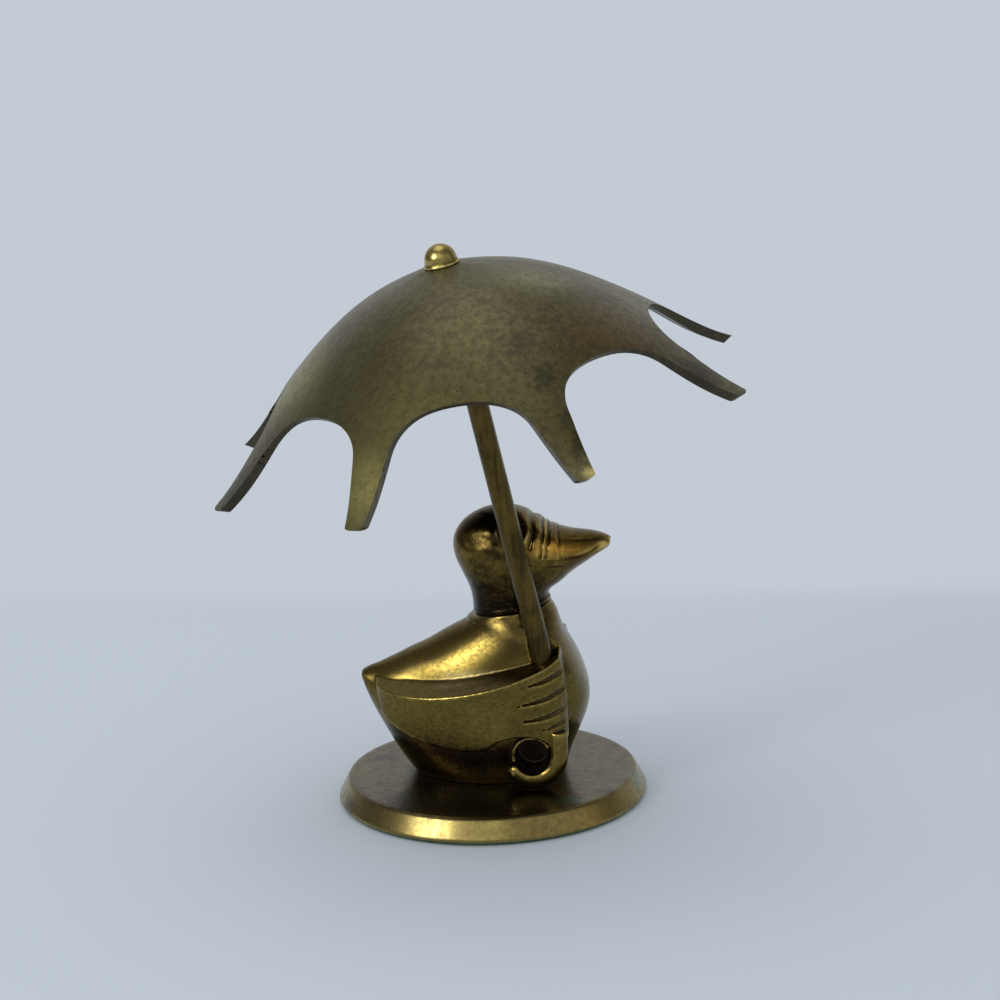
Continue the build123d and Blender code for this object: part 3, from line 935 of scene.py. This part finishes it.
@dataclass
class Castings:
    """Body and head castings of the duck."""

    FLANK_GAIN: ClassVar[float] = 2.5
    FLANK_START: ClassVar[float] = 0.6

    body_skin: float = 0.38
    head_skin: float = 0.28
    relax: int = 4
    lines: tuple[CarvedLine, ...] = (
        CarvedLine(((11.2, 72.5), (12.2, 69.2), (12.6, 67.1), (11.5, 63.3)), 1.3, 0.42),
        CarvedLine(((13.4, 72.0), (14.3, 69.5), (15.0, 66.9), (14.2, 60.9)), 0.8, 0.34),
        CarvedLine(((14.9, 71.0), (15.8, 68.9), (16.2, 66.1), (15.5, 60.9)), 0.9, 0.38),
        CarvedLine(((18.0, 67.6), (18.6, 63.7), (19.0, 59.9)), 0.6, 0.20),
        CarvedLine(((-2.5, 64.2), (0.6, 65.4), (3.6, 64.9), (6.4, 62.9), (8.4, 60.2)), 2.6, 0.26),
        CarvedLine(((11.5, 58.9), (15.0, 58.0), (19.0, 57.9)), 0.7, 0.12),
        CarvedLine(((15.0, 59.9), (19.0, 59.6), (22.5, 60.0), (26.0, 61.2), (28.6, 62.8)), 0.7, 0.16),
    )
    eye: CarvedRing = CarvedRing((6.9, 67.2), 3.2, 1.7, 0.28, 0.34)

    def build(self, nodes: dict[str, bpy.types.Object]) -> list[bpy.types.Object]:
        """Recast the body and the carved head.

        Args:
            nodes: Packed pieces by name.

        Returns:
            The body and the head.
        """
        body = MeshWork.recast(nodes["duck_body"], "duck_casting", Skin.CRISP, self.body_skin, self.relax)
        head = MeshWork.recast(nodes["duck_head"], "head_casting", Skin.ROUND, self.head_skin, self.relax)
        self.carve(head.data)
        for thing, node in ((body, "duck_body"), (head, "duck_head")):
            MeshWork.mark_form(thing.data)
            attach(thing, "duck")
            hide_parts(node)
        return [body, head]

    def carve(self, mesh: bpy.types.Mesh) -> None:
        """Cut the beak's and the cheek's lines and the eyes into the head."""
        places = MeshWork.places(mesh)
        normals = MeshWork.normals(mesh)
        depths = np.zeros(len(places))
        for line in self.lines:
            depths = np.maximum(depths, line.cut(places))
        flank = np.clip(np.abs(normals[:, 1]) * self.FLANK_GAIN - self.FLANK_START, 0.0, 1.0)
        ring = self.eye.cut(places) * flank
        MeshWork.put_places(mesh, places - normals * (depths + ring)[:, None])


@dataclass
class Umbrella:
    """Canopy casting and the finial nut."""

    nut_skin: float = 0.22
    nut_relax: int = 3
    axis: Point = (-0.188334, -0.12326, 0.974339)
    top: Point = (-4.087, -24.469, 131.868)
    bowl_depth: float = 62.0
    rim_facing: float = 0.60
    rim_fade: float = 0.3
    rim_painted_shade: float = 0.82

    def build(self, nodes: dict[str, bpy.types.Object]) -> list[bpy.types.Object]:
        """Copy the canopy and recast the finial nut.

        Args:
            nodes: Packed pieces by name.

        Returns:
            The canopy and the finial.
        """
        canopy = self.square_cut(nodes["canopy"])
        finial = MeshWork.recast(nodes["finial"], "finial_nut", Skin.ROUND, self.nut_skin, self.nut_relax)
        MeshWork.mark_form(finial.data)
        for thing, node, slot in ((canopy, "canopy", "canopy_brass"), (finial, "finial", "bright_brass")):
            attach(thing, "umbrella_top")
            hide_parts(node)
        return [canopy, finial]

    def square_cut(self, node: bpy.types.Object) -> bpy.types.Object:
        """Copy the canopy with crisp rims, and mark its rims and underside as sheltered.

        Those faces turn away from the light, so the mark paints shade on them.

        Args:
            node: Packed canopy.

        Returns:
            The new canopy.
        """
        mesh = node.data.copy()
        mesh.name = "canopy_casting"
        mesh.materials.clear()
        MeshWork.smooth_but_sharp(mesh)
        bowl = np.array(self.top) - self.bowl_depth * np.array(self.axis)
        outward = MeshWork.rows(mesh.polygons, "center") / MM - bowl
        outward /= np.linalg.norm(outward, axis=1)[:, None]
        facing = (MeshWork.rows(mesh.polygons, "normal") * outward).sum(1)
        inner = np.clip((self.rim_facing - facing) / self.rim_fade, 0.0, 1.0)
        # Painted shade on the rims and underside, through the shelter value.
        MeshWork.store(mesh, "shelter", self.rim_painted_shade * inner, "FACE")
        return MeshWork.new_object("canopy_casting", mesh)


@dataclass(frozen=True)
class Glow:
    """Bright part of the room that shiny things mirror, with edge and core as cosines."""

    direction: Point
    edge: float
    core: float
    strength: float


@dataclass(frozen=True)
class Lamp:
    """Square soft light, in mm and watts, that faces the duck."""

    AIM: ClassVar[Point] = (0.0, 0.0, 60.0)

    name: str
    place: Point
    size: float
    power: float
    tint: Colour

    def hang(self) -> None:
        """Add the light to the scene."""
        data = bpy.data.lights.new(self.name, "AREA")
        data.shape = "SQUARE"
        data.size = self.size * MM
        data.energy = self.power
        data.color = self.tint
        thing = bpy.data.objects.new(self.name, data)
        bpy.context.scene.collection.objects.link(thing)
        thing.location = Vector(self.place) * MM
        thing.rotation_mode = "QUATERNION"
        thing.rotation_quaternion = (Vector(self.AIM) - Vector(self.place)).to_track_quat("-Z", "Y")


@dataclass
class Studio:
    """Pale table, soft daylight and the camera."""

    lens: float = 79.2
    sensor: float = 36.0
    nearest: float = 0.01
    farthest: float = 20.0
    camera_place: Point = (53.5455, -509.4516, 184.6823)
    camera_right: Point = (0.995424, 0.087575, -0.038240)
    camera_down: Point = (-0.018512, -0.215869, -0.976247)
    camera_forward: Point = (-0.093750, 0.972487, -0.213260)

    table_half: float = 4.0
    table_tone: Colour = (0.505, 0.55, 0.605)
    table_rough: float = 0.9
    table_shine: float = 0.1
    table_end: Band = Band(168.0, 202.0)
    weave: Noise = Noise(1.2, 3.0, 0.8)
    weave_band: Band = Band(0.3, 0.7)
    weave_light: float = 1.03

    wall_tone: Colour = (0.545, 0.595, 0.66)
    mirror_tone: Colour = (0.97, 0.98, 1.0)
    dome_tone: Colour = (0.95, 0.98, 1.0)
    dome_strength: float = 0.88
    room_floor: float = 0.12
    glows: tuple[Glow, ...] = (
        Glow((-0.640, -0.620, 0.455), 0.945, 0.988, 4.60),
        Glow((-0.118, -0.840, 0.530), 0.905, 0.985, 0.80),
        Glow((-0.36, -0.60, 0.72), 0.30, 0.95, 0.16),
        Glow((0.05, 1.0, 0.12), 0.20, 0.85, 0.42),
        Glow((0.74, -0.62, 0.20), 0.62, 0.95, 0.42),
    )
    lamps: tuple[Lamp, ...] = (
        Lamp("window", (-520.0, -533.0, 482.0), 180.0, 1.1, (1.0, 0.99, 0.97)),
        Lamp("ceiling", (-100.0, 60.0, 800.0), 500.0, 0.8, (1.0, 1.0, 1.0)),
    )

    def camera(self) -> None:
        """Place the camera at the photograph's viewing angle."""
        data = bpy.data.cameras.new("camera")
        data.lens = self.lens
        data.sensor_width = self.sensor
        data.clip_start = self.nearest
        data.clip_end = self.farthest
        thing = bpy.data.objects.new("camera", data)
        bpy.context.scene.collection.objects.link(thing)
        right = Vector(self.camera_right)
        down = Vector(self.camera_down)
        forward = Vector(self.camera_forward)
        turn = Matrix((right, -down, -forward)).transposed().to_4x4()
        thing.matrix_world = Matrix.Translation(Vector(self.camera_place) * MM) @ turn
        bpy.context.scene.camera = thing

    def table(self) -> None:
        """Lay a wide pale table that turns into the wall's tone behind the duck."""
        mesh = bpy.data.meshes.new("table_top")
        half = self.table_half
        corners = [(-half, -half, 0.0), (half, -half, 0.0), (half, half, 0.0), (-half, half, 0.0)]
        mesh.from_pydata(corners, [], [(0, 1, 2, 3)])
        thing = MeshWork.new_object("table_top", mesh)
        graph = MaterialGraph("pale_cloth")
        light = tuple(self.weave_light * part for part in self.table_tone)
        tone = graph.blend(graph.spread(graph.noise(self.weave), self.weave_band), self.table_tone, light)
        graph.finish(Base_Color=tone, Roughness=self.table_rough, Specular_IOR_Level=self.table_shine)
        plain = graph.nodes.new("ShaderNodeEmission")
        graph.put(plain.inputs["Color"], self.wall_tone)
        behind = graph.spread(graph.coordinate("Y"), self.table_end)
        seen = graph.choose(behind, graph.shader.outputs[0], plain.outputs[0])
        graph.put(graph.nodes["Material Output"].inputs["Surface"], seen)
        mesh.materials.append(graph.material)
        thing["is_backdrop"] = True

    def world(self) -> None:
        """Show the wall to the camera, a soft dome to dull things and a bright room to shiny ones."""
        world = bpy.data.worlds.new("room")
        bpy.context.scene.world = world
        world.use_nodes = True
        graph = Graph(world.node_tree)
        direction = graph.nodes.new("ShaderNodeTexCoord").outputs["Generated"]
        light: Socket | float = self.room_floor
        for glow in self.glows:
            facing = graph.nodes.new("ShaderNodeVectorMath")
            facing.operation = "DOT_PRODUCT"
            graph.put(facing.inputs[0], direction)
            graph.put(facing.inputs[1], Vector(glow.direction).normalized())
            eased = graph.spread(facing.outputs["Value"], Band(glow.edge, glow.core, 0.0, glow.strength))
            light = graph.maths("ADD", eased, light)
        mirrored = graph.background(self.mirror_tone, light)
        dome = graph.background(self.dome_tone, self.dome_strength)
        wall = graph.background(self.wall_tone, 1.0)
        ray = graph.nodes.new("ShaderNodeLightPath").outputs
        lighting = graph.choose(ray["Is Glossy Ray"], dome, mirrored)
        seen = graph.choose(ray["Is Camera Ray"], lighting, wall)
        graph.put(graph.nodes["World Output"].inputs["Surface"], seen)

    def build(self) -> None:
        """Set the stage."""
        self.camera()
        self.table()
        self.world()
        for lamp in self.lamps:
            lamp.hang()
        bpy.context.scene.view_settings.view_transform = "Standard"


def main() -> None:
    """Build the duck, dress it and set the stage."""
    logging.basicConfig(level=logging.INFO, format="%(message)s")
    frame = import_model()
    nodes = frame["nodes"]

    disc = Base().build()
    body, head = Castings().build(nodes)
    canopy, nut = Umbrella().build(nodes)
    # Occlusion values; the brass finishes paint shade, with some grime, where they are high.
    shelter = Shelter([disc, body, head, canopy, nut])
    for thing in (disc, body, head, nut):
        shelter.mark(thing)
    for thing, finish in (
        (disc, DISC_BRASS),
        (body, BODY_BRASS),
        (head, HEAD_BRASS),
        (canopy, CANOPY_BRASS),
        (nut, NUT_BRASS),
    ):
        thing.data.materials.append(finish.material())
    steel = PlainSteel().material()
    for name, material in (
        ("umbrella_rod", ROD_BRASS.material()),
        ("neck_stud", steel),
        ("base_screw", steel),
    ):
        mesh = nodes[name].data
        mesh.materials.clear()
        mesh.materials.append(material)
        MeshWork.smooth_but_sharp(mesh)
    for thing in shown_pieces():
        LOG.info("%s: %d faces", thing.name, len(thing.data.polygons))

    Studio().build()


if __name__ == "__main__":
    main()
